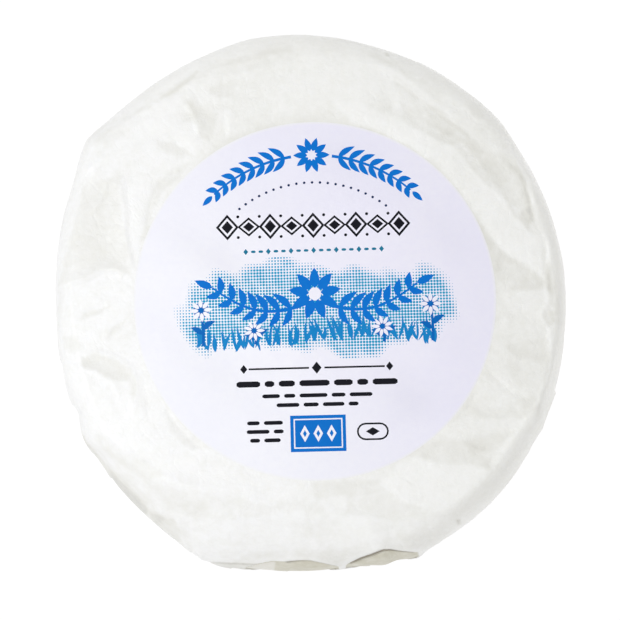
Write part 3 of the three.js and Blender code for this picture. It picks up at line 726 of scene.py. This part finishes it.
    # how far the paper stands off the rind, which sets its tone, together with painted shade and painted light: the
    # fields' own share and that of the small facets
    tone_shade_light_sum = field_tone_shade_light + 0.35 * mid * np.where(on_face, free, 1.0) + 0.22 * big
    depth = np.zeros(len(verts)); depth[1:-1] = np.clip(tone_shade_light_sum, -1.6, 1.6).reshape(-1)
    tone_shade_light_attr = me.attributes.new("tone_shade_light", "FLOAT", "POINT")
    tone_shade_light_attr.data.foreach_set("value", depth)
    ob = bpy.data.objects.new("paper_wrap", me)
    bpy.context.scene.collection.objects.link(ob)
    return ob


# ------------------------------------------------------------------ the label's print
TILT = math.radians(1.4)        # the print's turn, anticlockwise
SHAPES = []                     # (ink, points), later ones over earlier ones


def put(ink, pts):
    """Adds a shape, with its points turned anticlockwise."""
    p = np.array(pts, float)
    x, y = p[:, 0], p[:, 1]
    if (x * np.roll(y, -1) - np.roll(x, -1) * y).sum() < 0:
        p = p[::-1]
    SHAPES.append((ink, p))


def rect(x0, y0, x1, y1):
    return [(x0, y0), (x1, y0), (x1, y1), (x0, y1)]


def pill(x0, y0, x1, y1, n=5):
    r = (y1 - y0) / 2
    if x1 - x0 < 2 * r:
        return oval((x0 + x1) / 2, (y0 + y1) / 2, (x1 - x0) / 2, r, 10)
    a = np.linspace(-math.pi / 2, math.pi / 2, n)
    right = [(x1 - r + r * math.cos(t), y0 + r + r * math.sin(t)) for t in a]
    left = [(x0 + r - r * math.cos(t), y0 + r - r * math.sin(t)) for t in a]
    return right + left


def oval(cx, cy, rx, ry, n=32):
    return [(cx + rx * math.cos(t), cy + ry * math.sin(t)) for t in np.arange(n) * 2 * math.pi / n]


def lozenge(cx, cy, w, h):
    return [(cx - w / 2, cy), (cx, cy - h / 2), (cx + w / 2, cy), (cx, cy + h / 2)]


def leaf(x, y, length, width, angle, n=9, bend=0.0):
    """A pointed leaf from its stalk end, along angle (degrees), bent to one side."""
    t = np.linspace(0, 1, n)
    w = width / 2 * np.sin(math.pi * t ** 0.8) ** 0.9
    mid = bend * length * np.sin(math.pi * t)
    up = np.stack([t * length, mid + w], 1)
    down = np.stack([t[1:-1][::-1] * length, (mid - w)[1:-1][::-1]], 1)
    p = np.concatenate([up, down])
    a = math.radians(angle)
    rot = np.array([[math.cos(a), math.sin(a)], [-math.sin(a), math.cos(a)]])
    return p @ rot + [x, y]


def stroke(points, w0, w1=None):
    """A line of changing width along a smooth run of points."""
    w1 = w0 if w1 is None else w1
    p = np.array(points, float)
    d = np.gradient(p, axis=0)
    n = np.stack([-d[:, 1], d[:, 0]], 1) / np.linalg.norm(d, axis=1)[:, None]
    w = np.linspace(w0, w1, len(p))[:, None] / 2
    return np.concatenate([p + n * w, (p - n * w)[::-1]])


def bow(x0, x1, y, sag, n=25):
    x = np.linspace(x0, x1, n)
    return np.stack([x, y + sag * (1 - ((x - (x0 + x1) / 2) / ((x1 - x0) / 2)) ** 2)], 1)


def flower(ink, eye, cx, cy, r, petals, turn=0.0, fat=0.62):
    for k in range(petals):
        a = turn + 360.0 * k / petals
        put(ink, leaf(cx + 0.22 * r * math.cos(math.radians(a)), cy + 0.22 * r * math.sin(math.radians(a)),
                      0.78 * r, fat * r * math.pi / petals * 1.25, a, 8))
    put(eye, oval(cx, cy, 0.24 * r, 0.24 * r, 14))


def arc(radius, a0, a1, n=41, cx=0.0, cy=0.0):
    """Points of a circle's arc, from angle a0 to a1 in degrees."""
    a = np.radians(np.linspace(a0, a1, n))
    return np.stack([cx + radius * np.cos(a), cy + radius * np.sin(a)], 1)


def dashes(ink, cx, y, height, words, gap=1.5):
    """A centred row of plain dashes."""
    x = cx - (sum(words) + gap * (len(words) - 1)) / 2
    for w in words:
        put(ink, pill(x, y - height / 2, x + w, y + height / 2, 4))
        x += w + gap


def draw_label():
    # a leafy garland that follows the label's upper edge, with a flower in its middle
    for side in (-1, 1):
        put("blue", stroke(arc(57.5, 90 - side * 8.0, 90 - side * 42.0, 25), 1.2, 0.7))
        for k in range(8):
            a = 90 - side * (10.5 + 4.2 * k)
            x, y = arc(57.5, a, a, 1)[0]
            out = a - 90 * side
            size = 7.8 - 0.40 * k
            put("blue", leaf(x, y, size, 2.35, out + side * 42, 9, 0.06 * side))
            put("blue", leaf(x, y, size * 0.94, 2.3, out - side * 38, 9, -0.06 * side))
        x, y = arc(57.5, 90 - side * 43.0, 90 - side * 43.0, 1)[0]
        put("blue", leaf(x, y, 5.4, 2.2, 90 - side * 134, 9))
    flower("blue", "paper", 0.0, 57.5, 7.2, 10, 0.0, 0.9)
    # a dotted arc under it
    for x, y in arc(46.6, 52, 128, 21):
        put("navy", oval(x, y, 0.52, 0.52, 12))
    # a chain of outlined lozenges
    for k in range(9):
        x = -33.6 + 8.4 * k
        h = 10.2 if k % 2 == 0 else 7.6
        put("black", lozenge(x, 29.5, 8.9, h))
        put("paper", lozenge(x, 29.5, 6.6, h * 0.74))
        put("black", lozenge(x, 29.5, 4.5, h * 0.5))
        if k < 8:
            put("black", oval(x + 4.2, 33.6, 0.6, 0.6, 12))
            put("black", oval(x + 4.2, 25.4, 0.6, 0.6, 12))
    # small dashes and lozenges
    for k in range(19):
        x = -26.6 + 2.95 * k
        if k % 3 == 0:
            put("teal", lozenge(x, 19.6, 1.9, 2.4))
        else:
            put("teal", pill(x - 0.95, 19.1, x + 0.95, 20.1, 4))
    # a large spray in the middle: two leafy stalks that meet under a flower
    for side in (-1, 1):
        def stem(t):
            return side * (6.0 + 34.0 * t), -2.2 - 3.2 * math.sin(math.pi * t) + 8.0 * t * t
        put("blue", stroke([stem(t) for t in np.linspace(0, 1, 18)], 1.5, 0.7))
        for k in range(7):
            t = 0.10 + 0.135 * k
            x, y = stem(t)
            x2, y2 = stem(t + 0.02)
            run = math.degrees(math.atan2(y2 - y, abs(x2 - x)))
            size = 9.4 - 0.45 * k
            up, down = run + 52, run - 50
            put("blue", leaf(x, y, size, 2.9, up if side > 0 else 180 - up, 9, 0.07 * side))
            put("blue", leaf(x, y, size * 0.84, 2.7, down if side > 0 else 180 - down, 9, -0.07 * side))
        x, y = stem(1.0)
        put("blue", leaf(x, y, 7.4, 3.0, 24 if side > 0 else 156, 9))
    flower("blue", "paper", 0.0, 2.4, 10.4, 9, 90.0, 0.86)
    # a thin rule with a lozenge at each end and in its middle
    put("black", rect(-26.5, -27.0, -3.0, -26.3))
    put("black", rect(3.0, -27.0, 26.5, -26.3))
    for x, w in ((-28.4, 2.8), (0.0, 3.8), (28.4, 2.8)):
        put("black", lozenge(x, -26.65, w, w * 1.25))
    # rows of plain dashes
    dashes("black", 0.0, -32.6, 2.3, (9.5, 4.0, 6.5, 12.0, 7.5, 4.5, 10.0))
    dashes("black", 0.0, -37.4, 1.5, (7.0, 4.5, 11.0, 5.5, 9.0))
    dashes("black", 0.0, -41.0, 1.5, (9.0, 6.0, 8.5, 4.0))
    # a plain blue panel with three lozenges, short rows and a small rounded ring beside it
    put("blue2", rect(-10.8, -59.4, 10.8, -45.2))
    put("paper", rect(-9.5, -58.1, 9.5, -46.5))
    put("blue2", rect(-9.0, -57.6, 9.0, -47.0))
    for x in (-5.2, 0.0, 5.2):
        put("paper", lozenge(x, -52.3, 3.7, 6.6))
        put("blue2", lozenge(x, -52.3, 1.5, 2.8))
    for y, words in ((-47.8, (5.0, 7.5)), (-51.2, (9.0, 4.0)), (-54.6, (4.0, 6.5))):
        dashes("black", -20.6, y, 1.5, words)
    put("black", pill(15.0, -55.4, 27.4, -48.6, 9))
    put("paper", pill(15.7, -54.7, 26.7, -49.3, 9))
    put("black", lozenge(21.2, -52.0, 5.4, 3.2))


def tone(x, y):
    """How dark the soft printed field is at a point, from 0 to 1."""
    u, v = x / 55.0, (y + 3.0) / 17.5
    wave = 0.10 * math.sin(x * 0.21 + 1.0) + 0.07 * math.sin(x * 0.47 + y * 0.3)
    edge = (abs(u) ** 2.6 + abs(v + 0.15 * math.sin(x * 0.09)) ** 2.4) ** 0.5 + wave
    mask = 1 - smooth((edge - 0.74) / 0.36)
    stripes = 0.5 + 0.5 * math.sin(0.55 * (y + 0.22 * x + 3.0 * math.sin(x * 0.08)))
    grass = 0.5 + 0.5 * math.sin(x * 0.9 + 2.2 * math.sin(y * 0.35 + x * 0.11))
    t = 0.46 + 0.20 * stripes + 0.14 * grass - 0.10 * smooth(y / 10.0)
    return float(mask * t)


def draw_field():
    """The soft-edged field of printed dots, with grasses and small flowers in front of it."""
    pitch = 1.17
    dots = []
    for j in range(-17, 18):
        for i in range(-50, 51):
            x = i * pitch
            y = -3.0 + j * pitch
            t = tone(x, y) * (1 + 0.18 * (float(hash01(i, j)) - 0.5))
            if t < 0.035:
                continue
            r = pitch * math.sqrt(min(t, 0.74) / math.pi)
            dots.append((x, y, min(r, 0.485 * pitch)))
    for x, y, r in dots:
        put("sky", oval(x, y, r, r, 8 if r > 0.4 else 6))
    rs = np.random.RandomState(3)
    for k in range(27):
        x = -46.0 + 3.55 * k + rs.uniform(-0.8, 0.8)
        base = -17.5 + 1.8 * math.sin(0.07 * x + 0.5) + rs.uniform(-0.8, 0.8)
        for q in range(3):
            a = 90 + rs.uniform(-26, 26)
            put("mid", leaf(x + rs.uniform(-0.6, 0.6), base, rs.uniform(5.5, 11.5), rs.uniform(0.9, 1.5), a, 9,
                            rs.uniform(-0.12, 0.12)))
    for x, y, r, n in ((-44.5, -3.0, 5.0, 8), (-24.0, -11.5, 4.6, 9), (26.0, -11.0, 4.8, 9), (45.0, -2.5, 5.0, 8)):
        stem = [(x + 1.2 * math.sin(1.8 * t) - 0.6 * t, y - (y + 17.0) * t) for t in np.linspace(0, 1, 9)]
        put("deep", stroke(stem, 0.9, 1.2))
        put("deep", leaf(x + 0.5, y - (y + 17.0) * 0.55, 6.0, 2.4, 35, 9, 0.1))
        put("deep", leaf(x + 0.3, y - (y + 17.0) * 0.68, 5.4, 2.2, 148, 9, -0.1))
        put("deep", oval(x, y, r * 0.62, r * 0.62, 24))
        flower("paper", "deep", x, y, r * 0.92, n, 10.0 * x, 0.72)


# ------------------------------------------------------------------ the label
INKS = ["paper", "blue", "blue2", "black", "navy", "teal", "sky", "mid", "deep"]
STUCK = 0.06                    # label's upper side above the wrap
SUNK = 0.10                     # its lower side in the wrap, so that no air shows


def label_height(x, y):
    r = np.hypot(x, y)
    swell = (0.09 * np.sin(x / 13.0 + 1.3 * np.sin(y / 21.0)) * np.sin(y / 16.0 + 0.7)
             + 0.06 * np.sin((x + 1.4 * y) / 9.0 + 0.5))
    return face(x, y) + swell * smooth((LABEL_R - r) / 14.0)


def build_label():
    draw_field()
    draw_label()
    ca, sa = math.cos(TILT), math.sin(TILT)
    n_edge = 300
    rim = [(LABEL_R * math.cos(t), LABEL_R * math.sin(t)) for t in np.arange(n_edge) * 2 * math.pi / n_edge]
    coords, faces = list(rim), [list(range(n_edge))]
    for ink, pts in SHAPES:
        first = len(coords)
        coords += [(x * ca - y * sa, x * sa + y * ca) for x, y in pts]
        faces.append(list(range(first, len(coords))))
    coords += [(x * (1 - 0.10 / LABEL_R), y * (1 - 0.10 / LABEL_R)) for x, y in rim]
    for gx in np.arange(-69, 70, 2.6):
        for gy in np.arange(-69, 70, 2.6):
            if math.hypot(gx, gy) < LABEL_R - 1.4:
                coords.append((float(gx + 0.31 * math.sin(gy)), float(gy + 0.29 * math.sin(gx))))
    out = delaunay_2d_cdt([Vector(c) for c in coords], [], faces, 1, 1e-5)
    flat = np.array([tuple(v) for v in out[0]])
    inks = [SHAPES[max(o) - 1][0] if max(o) > 0 else "paper" for o in out[5]]
    r = np.hypot(flat[:, 0], flat[:, 1])
    z = label_height(flat[:, 0], flat[:, 1]) + STUCK
    verts = [tuple(v) for v in np.stack([flat[:, 0], flat[:, 1], z], 1)]
    faces, slots = [], []
    edges = {}
    for tri, ink in zip(out[2], inks):
        a, b, c = tri
        area = (flat[b, 0] - flat[a, 0]) * (flat[c, 1] - flat[a, 1]) - (flat[c, 0] - flat[a, 0]) * (flat[b, 1] - flat[a, 1])
        t = (a, b, c) if area > 0 else (a, c, b)
        faces.append(t)
        slots.append(INKS.index(ink))
        for p, q in ((t[0], t[1]), (t[1], t[2]), (t[2], t[0])):
            edges[(p, q)] = edges.get((p, q), 0) + 1
    follow = {p: q for (p, q) in edges if (q, p) not in edges}
    start = next(iter(follow))
    loop, at_v = [start], follow[start]
    while at_v != start:
        loop.append(at_v)
        at_v = follow[at_v]
    # the cut edge, and the side that is stuck down
    below = len(verts)
    for v in loop:
        x, y = flat[v]
        verts.append((x, y, float(face(x, y)) - SUNK))
    m = len(loop)
    for k in range(m):
        a, b = loop[k], loop[(k + 1) % m]
        faces.append((b, a, below + k, below + (k + 1) % m))
        slots.append(0)
    prev = below
    for scale in (0.75, 0.5, 0.25):
        first = len(verts)
        for v in loop:
            x, y = flat[v] * scale
            verts.append((x, y, float(face(x, y)) - SUNK))
        for k in range(m):
            faces.append((prev + (k + 1) % m, prev + k, first + k, first + (k + 1) % m))
            slots.append(0)
        prev = first
    mid = len(verts)
    verts.append((0.0, 0.0, float(face(0.0, 0.0)) - SUNK))
    for k in range(m):
        faces.append((prev + (k + 1) % m, prev + k, mid))
        slots.append(0)
    place = (np.array(verts) + [MID[0], MID[1], 0]) / 1000.0
    me = bpy.data.meshes.new("printed_label")
    me.from_pydata(place.tolist(), [], faces)
    me.update()
    me.polygons.foreach_set("material_index", slots)
    top = len(out[2])
    me.polygons.foreach_set("use_smooth", [i < top for i in range(len(faces))])
    on_rim = np.zeros(len(verts), bool)
    on_rim[loop] = True
    ends = np.empty(len(me.edges) * 2, int)
    me.edges.foreach_get("vertices", ends)
    me.edges.foreach_set("use_edge_sharp", on_rim[ends.reshape(-1, 2)].all(axis=1).tolist())
    # a flat map of the printed side, with the stuck side small in a corner
    uv = me.uv_layers.new(name="OFBake")
    spots = np.empty((len(me.loops), 2))
    vi = np.empty(len(me.loops), int)
    me.loops.foreach_get("vertex_index", vi)
    p = np.array(verts)[vi]
    size = 2 * (LABEL_R + 0.6)
    spots[:] = p[:, :2] / size + 0.5
    starts = np.array([poly.loop_start for poly in me.polygons])
    counts = np.array([poly.loop_total for poly in me.polygons])
    for k in range(top, len(faces)):
        s, c = starts[k], counts[k]
        spots[s:s + c] = p[s:s + c, :2] / (size * 9.0) + 0.062
        if k < top + m:                       # the thin edge gets some width of its own
            for q in range(s, s + c):
                if vi[q] >= below:
                    spots[q] = p[q, :2] / (size * 9.0) * 0.94 + 0.062
    uv.data.foreach_set("uv", spots.ravel())
    ob = bpy.data.objects.new("printed_label", me)
    bpy.context.scene.collection.objects.link(ob)
    return ob


# ------------------------------------------------------------------ materials
def srgb(r, g, b):
    f = lambda c: c / 12.92 if c <= 0.04045 else ((c + 0.055) / 1.055) ** 2.4
    return (f(r / 255), f(g / 255), f(b / 255), 1.0)


class Nodes:
    """A short way to write node trees."""

    def __init__(self, name):
        self.mat = bpy.data.materials.new(name)
        self.mat.use_nodes = True
        self.tree = self.mat.node_tree
        self.tree.nodes.clear()
        self.out = self.tree.nodes.new("ShaderNodeOutputMaterial")
        self.bsdf = self.tree.nodes.new("ShaderNodeBsdfPrincipled")
        self.link(self.bsdf.outputs[0], self.out.inputs[0])
        self.coord = self.tree.nodes.new("ShaderNodeTexCoord")

    def link(self, a, b):
        self.tree.links.new(a, b)

    def give(self, node, socket, value):
        if isinstance(value, bpy.types.NodeSocket):
            self.link(value, node.inputs[socket])
        elif value is not None:
            node.inputs[socket].default_value = value

    def noise(self, scale, detail=3.0, rough=0.55, distort=0.0, vector=None):
        n = self.tree.nodes.new("ShaderNodeTexNoise")
        self.link(vector or self.coord.outputs["Object"], n.inputs["Vector"])
        n.inputs["Scale"].default_value = scale
        n.inputs["Detail"].default_value = detail
        n.inputs["Roughness"].default_value = rough
        n.inputs["Distortion"].default_value = distort
        return n.outputs["Fac"]

    def cells(self, scale, feature="DISTANCE_TO_EDGE", random=1.0, vector=None):
        n = self.tree.nodes.new("ShaderNodeTexVoronoi")
        n.feature = feature
        self.link(vector or self.coord.outputs["Object"], n.inputs["Vector"])
        n.inputs["Scale"].default_value = scale
        n.inputs["Randomness"].default_value = random
        return n.outputs["Distance"]

    def stretch(self, sx, sy, sz):
        n = self.tree.nodes.new("ShaderNodeMapping")
        self.link(self.coord.outputs["Object"], n.inputs["Vector"])
        n.inputs["Scale"].default_value = (sx, sy, sz)
        return n.outputs[0]

    def ramp(self, value, a, b, lo=0.0, hi=1.0, smoothly=True):
        n = self.tree.nodes.new("ShaderNodeMapRange")
        n.interpolation_type = "SMOOTHSTEP" if smoothly else "LINEAR"
        self.give(n, "Value", value)
        n.inputs["From Min"].default_value = a
        n.inputs["From Max"].default_value = b
        n.inputs["To Min"].default_value = lo
        n.inputs["To Max"].default_value = hi
        return n.outputs[0]

    def math(self, op, a, b=0.0, c=None):
        n = self.tree.nodes.new("ShaderNodeMath")
        n.operation = op
        self.give(n, 0, a)
        self.give(n, 1, b)
        if c is not None:
            self.give(n, 2, c)
        return n.outputs[0]

    def mix(self, fac, a, b, mode="MIX"):
        n = self.tree.nodes.new("ShaderNodeMix")
        n.data_type = "RGBA"
        n.blend_type = mode
        self.give(n, 0, fac)
        self.give(n, 6, a)
        self.give(n, 7, b)
        return n.outputs[2]

    def attribute(self, name):
        n = self.tree.nodes.new("ShaderNodeAttribute")
        n.attribute_name = name
        return n.outputs["Fac"]

    def bump(self, height, strength, distance, normal=None):
        n = self.tree.nodes.new("ShaderNodeBump")
        n.inputs["Strength"].default_value = strength
        n.inputs["Distance"].default_value = distance
        self.link(height, n.inputs["Height"])
        if normal is not None:
            self.link(normal, n.inputs["Normal"])
        return n.outputs[0]


def wrap_material():
    n = Nodes("waxed_paper")
    # thin waxed paper over a white rind: painted light as a tint, cooler towards the left and front, where the light
    # falls, and warmer towards the right and back, with cloudy edges
    shade_side_tint, lit_side_tint = srgb(247, 247, 244), srgb(247, 247, 247)
    place = n.tree.nodes.new("ShaderNodeVectorMath")
    place.operation = "DOT_PRODUCT"
    n.link(n.coord.outputs["Object"], place.inputs[0])
    place.inputs[1].default_value = (1.0, 0.45, 0.0)
    cloud = n.math("MULTIPLY_ADD", n.noise(14.0, 4.0, 0.6, 0.4), 0.09, -0.045)
    base = n.mix(n.ramp(n.math("ADD", place.outputs["Value"], cloud), -0.09, 0.06), lit_side_tint, shade_side_tint)
    mottle = n.ramp(n.noise(210.0, 5.0, 0.62), 0.36, 0.70)
    base = n.mix(n.math("MULTIPLY", mottle, 0.25), base, srgb(236, 236, 229))
    fibre = n.ramp(n.noise(900.0, 3.0, 0.7), 0.40, 0.72)
    base = n.mix(n.math("MULTIPLY", fibre, 0.14), base, srgb(232, 232, 226))
    # it looks greyer where it clings to the rind and whiter where it is lifted, and the same values carry painted
    # shade and painted light of the folds and creases; the darkest step is painted shade in creases and along the
    # lower edge
    patchy = n.math("MULTIPLY_ADD", n.noise(75.0, 3.0, 0.6, 0.5), 0.66, -0.33)
    blotch = n.math("MULTIPLY_ADD", n.noise(330.0, 3.0, 0.6), 0.84, -0.42)
    height = n.math("ADD", n.attribute("tone_shade_light"), n.math("ADD", patchy, blotch))
    base = n.mix(n.ramp(height, 0.0, -1.2, 0.0, 0.85, False), base, srgb(227, 226, 219))
    base = n.mix(n.ramp(height, -1.1, -2.3, 0.0, 0.9, False), base, srgb(192, 191, 187))
    base = n.mix(n.ramp(height, 0.0, 1.2, 0.0, 0.75, False), base, srgb(253, 253, 251))
    # small specks in the paper
    speck = n.ramp(n.cells(105.0, "F1"), 0.035, 0.055, 1.0, 0.0)
    some = n.ramp(n.noise(46.0, 1.0, 0.5), 0.60, 0.66)
    base = n.mix(n.math("MULTIPLY", n.math("MULTIPLY", speck, some), 0.30), base, srgb(196, 190, 176))
    # the lower layer in the two gaps at the front, toned by what it wraps, and darker there as painted shade under
    # the paper's edge
    gap = n.attribute("under_layer")
    uneven = n.ramp(n.noise(170.0, 3.0, 0.6), 0.35, 0.7)
    tan = n.mix(uneven, srgb(206, 202, 184), srgb(218, 215, 201))
    tan = n.mix(n.ramp(gap, 0.90, 1.0), tan, srgb(232, 230, 222))
    base = n.mix(n.ramp(gap, 0.22, 0.66), base, tan)
    # painted shadow: a dark brown line under the paper's edge
    base = n.mix(n.math("MULTIPLY", n.attribute("hem_shade"), 0.85), base, srgb(104, 92, 68))
    n.link(base, n.bsdf.inputs["Base Color"])
    rough = n.ramp(n.noise(60.0, 3.0, 0.6), 0.3, 0.7, 0.40, 0.56)
    n.link(rough, n.bsdf.inputs["Roughness"])
    n.bsdf.inputs["Specular IOR Level"].default_value = 0.42
    n.bsdf.inputs["Subsurface Weight"].default_value = 0.12
    n.bsdf.inputs["Subsurface Radius"].default_value = (1.0, 0.97, 0.9)
    n.bsdf.inputs["Subsurface Scale"].default_value = 0.0006
    n.bsdf.inputs["Sheen Weight"].default_value = 0.08
    n.bsdf.inputs["Sheen Roughness"].default_value = 0.5
    # crinkles: a net of fine creases, soft waves and the paper's tooth
    warp = n.tree.nodes.new("ShaderNodeVectorMath")
    warp.operation = "MULTIPLY_ADD"
    wob = n.tree.nodes.new("ShaderNodeTexNoise")
    wob.inputs["Scale"].default_value = 40.0
    n.link(n.coord.outputs["Object"], wob.inputs["Vector"])
    n.link(wob.outputs["Color"], warp.inputs[0])
    warp.inputs[1].default_value = (0.012, 0.012, 0.012)
    n.link(n.coord.outputs["Object"], warp.inputs[2])
    net = n.ramp(n.cells(120.0, "DISTANCE_TO_EDGE", 1.0, warp.outputs[0]), 0.0, 0.16)
    net2 = n.ramp(n.cells(300.0, "DISTANCE_TO_EDGE", 1.0, warp.outputs[0]), 0.0, 0.2)
    waves = n.noise(90.0, 4.0, 0.6, 0.6)
    tooth = n.noise(2600.0, 3.0, 0.6)
    hair = n.noise(48.0, 5.0, 0.55, 1.2)
    hair = n.ramp(n.math("ABSOLUTE", n.math("SUBTRACT", hair, 0.5)), 0.0, 0.018)
    small = n.noise(420.0, 4.0, 0.65, 0.3)
    normal = n.bump(net, 0.25, 0.00025)
    normal = n.bump(net2, 0.12, 0.00018, normal)
    normal = n.bump(hair, 0.22, 0.00022, normal)
    normal = n.bump(waves, 0.34, 0.0012, normal)
    normal = n.bump(small, 0.34, 0.00045, normal)
    normal = n.bump(tooth, 0.12, 0.00008, normal)
    n.link(normal, n.bsdf.inputs["Normal"])
    return n.mat


def label_material(name, colour, second, gloss):
    """Coated label paper, or one of its inks: an uneven film on the same paper."""
    n = Nodes(name)
    uneven = n.ramp(n.noise(30.0, 4.0, 0.6, 0.3), 0.3, 0.7)
    grain = n.ramp(n.noise(380.0, 4.0, 0.68), 0.36, 0.68)
    if name == "label_paper":
        # painted light: the label paper is a little whiter towards the left and the front, where the light falls
        place = n.tree.nodes.new("ShaderNodeVectorMath")
        place.operation = "DOT_PRODUCT"
        n.link(n.coord.outputs["Object"], place.inputs[0])
        place.inputs[1].default_value = (1.0, 0.5, 0.0)
        across = n.ramp(place.outputs["Value"], -0.06, 0.045)
        colour = n.mix(across, srgb(247, 247, 253), colour)
        second = n.mix(across, srgb(242, 242, 252), second)
    base = n.mix(n.math("MULTIPLY", uneven, 0.55), colour, second)
    base = n.mix(n.math("MULTIPLY", grain, 0.45), base, second)
    away = n.tree.nodes.new("ShaderNodeVectorMath")
    away.operation = "DISTANCE"
    n.link(n.coord.outputs["Object"], away.inputs[0])
    away.inputs[1].default_value = (MID[0] / 1000, MID[1] / 1000, 0.035)
    rim = n.ramp(away.outputs["Value"], (LABEL_R - 1.3) / 1000, LABEL_R / 1000, 0.0, 0.6)
    base = n.mix(rim, base, srgb(245, 245, 244))
    n.link(base, n.bsdf.inputs["Base Color"])
    n.link(n.ramp(n.noise(70.0, 3.0, 0.6), 0.3, 0.7, gloss - 0.05, gloss + 0.07), n.bsdf.inputs["Roughness"])
    n.bsdf.inputs["Specular IOR Level"].default_value = 0.40 if name == "label_paper" else 0.10
    n.bsdf.inputs["Subsurface Weight"].default_value = 0.08 if name == "label_paper" else 0.0
    n.bsdf.inputs["Subsurface Radius"].default_value = (1.0, 1.0, 1.0)
    n.bsdf.inputs["Subsurface Scale"].default_value = 0.0006
    normal = n.bump(n.noise(55.0, 3.0, 0.55, 0.4), 0.26, 0.0010)
    normal = n.bump(n.noise(330.0, 4.0, 0.62, 0.3), 0.22, 0.00040, normal)
    normal = n.bump(n.noise(2400.0, 2.0, 0.6), 0.10, 0.00006, normal)
    n.link(normal, n.bsdf.inputs["Normal"])
    return n.mat


wrap = build_wheel()
wrap.data.materials.append(wrap_material())
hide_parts("wrapped_wheel")
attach(wrap, "root")

label = build_label()
COLOURS = {
    "paper": ((243, 241, 254), (238, 236, 253), 0.46), "blue": ((0, 110, 206), (6, 120, 210), 0.44),
    "blue2": ((2, 108, 200), (8, 116, 204), 0.44), "black": ((14, 14, 22), (26, 27, 36), 0.48),
    "navy": ((22, 40, 84), (34, 54, 96), 0.46), "teal": ((24, 116, 150), (40, 128, 158), 0.46),
    "sky": ((20, 152, 200), (40, 164, 206), 0.46), "mid": ((14, 128, 198), (28, 138, 204), 0.46),
    "deep": ((0, 98, 182), (8, 108, 190), 0.45),
}
for ink in INKS:
    a, b, gloss = COLOURS[ink]
    label.data.materials.append(label_material("label_" + ink, srgb(*a), srgb(*b), gloss))
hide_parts("label")
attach(label, "root")

# ------------------------------------------------------------------ studio
scene = bpy.context.scene
scene.view_settings.view_transform = "Standard"
scene.view_settings.look = "None"
scene.view_settings.exposure = 0.0
scene.view_settings.gamma = 1.0

me = bpy.data.meshes.new("floor")
s = 3.0
me.from_pydata([(-s, -s, 0), (s, -s, 0), (s, s, 0), (-s, s, 0)], [], [(0, 1, 2, 3)])
floor = bpy.data.objects.new("floor", me)
scene.collection.objects.link(floor)
f = Nodes("floor_paper")
f.link(f.mix(f.noise(3.0, 2.0), (0.10, 0.10, 0.10, 1.0), (0.08, 0.08, 0.08, 1.0)), f.bsdf.inputs["Base Color"])
f.bsdf.inputs["Roughness"].default_value = 0.9
f.bsdf.inputs["Specular IOR Level"].default_value = 0.1
f.bsdf.inputs["Emission Color"].default_value = (1, 1, 1, 1)
f.bsdf.inputs["Emission Strength"].default_value = 0.95
floor.data.materials.append(f.mat)

world = bpy.data.worlds.new("studio")
scene.world = world
world.use_nodes = True
bg = world.node_tree.nodes.get("Background") or world.node_tree.nodes.new("ShaderNodeBackground")
bg.inputs["Color"].default_value = (1.0, 0.995, 0.99, 1.0)
bg.inputs["Strength"].default_value = 0.541


def area_light(name, place, target, size, power, colour=(1, 1, 1)):
    data = bpy.data.lights.new(name, "AREA")
    data.shape = "RECTANGLE"
    data.size, data.size_y = size
    data.energy = power
    data.color = colour
    ob = bpy.data.objects.new(name, data)
    scene.collection.objects.link(ob)
    ob.location = place
    ob.rotation_euler = (Vector(target) - Vector(place)).to_track_quat("-Z", "Y").to_euler()
    return ob


key = area_light("key", (-0.27, -0.05, 0.52), (0, 0, 0.02), (0.2, 0.2), 1.45, (0.965, 0.98, 1.0))
fill = area_light("fill_right", (0.50, 0.14, 0.20), (0, 0, 0.02), (0.25, 0.25), 0.262, (1.0, 0.985, 0.94))
rear = area_light("fill_back", (-0.08, 0.52, 0.20), (0, 0, 0.02), (0.25, 0.25), 0.16, (1.0, 1.0, 0.98))
front = area_light("fill_front", (0.02, -0.50, 0.20), (0, 0, 0.02), (0.25, 0.25), 0.22, (1.0, 1.0, 1.0))
for lamp in (key, fill, rear, front):
    lamp.visible_camera = False

# the camera: the photograph's angle and framing
cam_data = bpy.data.cameras.new("camera")
cam_data.lens = 36.0 * DISTANCE / (620 * SCALE)
cam_data.sensor_width = 36.0
cam_data.clip_start, cam_data.clip_end = 0.05, 20.0
camera = bpy.data.objects.new("camera", cam_data)
scene.collection.objects.link(camera)
aim = Vector(((MID[0] - (CENTRE_PX[0] - 310) * SCALE) / 1000,
              (MID[1] - (310 - CENTRE_PX[1]) * SCALE / math.sin(ELEVATION)) / 1000, 0.0349))
back = Vector((0, -math.cos(ELEVATION), math.sin(ELEVATION)))
camera.location = aim + back * DISTANCE / 1000
camera.rotation_euler = (-back).to_track_quat("-Z", "Y").to_euler()
scene.camera = camera
